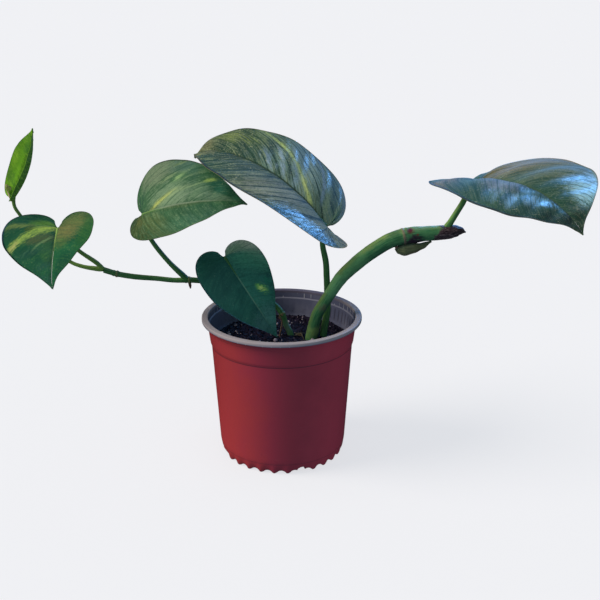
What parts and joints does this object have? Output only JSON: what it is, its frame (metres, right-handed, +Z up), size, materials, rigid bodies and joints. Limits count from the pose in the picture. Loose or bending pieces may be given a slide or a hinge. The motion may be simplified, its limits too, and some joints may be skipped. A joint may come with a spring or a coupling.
{
  "type": "potted pothos plant",
  "caption": "Trailing heart-leaved houseplant with a stout stem and a thin vine, rooted in dark soil in a round tapered plastic pot.",
  "frame": {"origin": "middle of the pot's foot, on the surface that the pot stands on", "axes": "+Z up along the pot's axis; +X to the right, towards the stout stem's leaf; -Y towards the viewer"},
  "size_m": [0.4119, 0.149, 0.248],
  "materials": {
    "pot_plastic": "satin",
    "potting_mix": "matte",
    "stem_skin": "satin",
    "dry_sheath": "matte",
    "vine_skin": "satin",
    "dry_root": "matte",
    "leaf_mature": "satin",
    "leaf_dark": "satin",
    "leaf_young": "satin"
  },
  "bodies": {
    "root": {"pot": "pot_plastic", "soil": "potting_mix", "stem_cutting": "stem_skin", "node_sheath": "dry_sheath", "vine": "vine_skin", "dry_root": "dry_root", "surface_roots": "dry_root", "leaf_right": "leaf_mature", "leaf_top": "leaf_mature", "leaf_front": "leaf_dark", "leaf_upper_left": "leaf_mature", "leaf_left": "leaf_dark", "leaf_young": "leaf_young"}
  },
  "joints": []
}
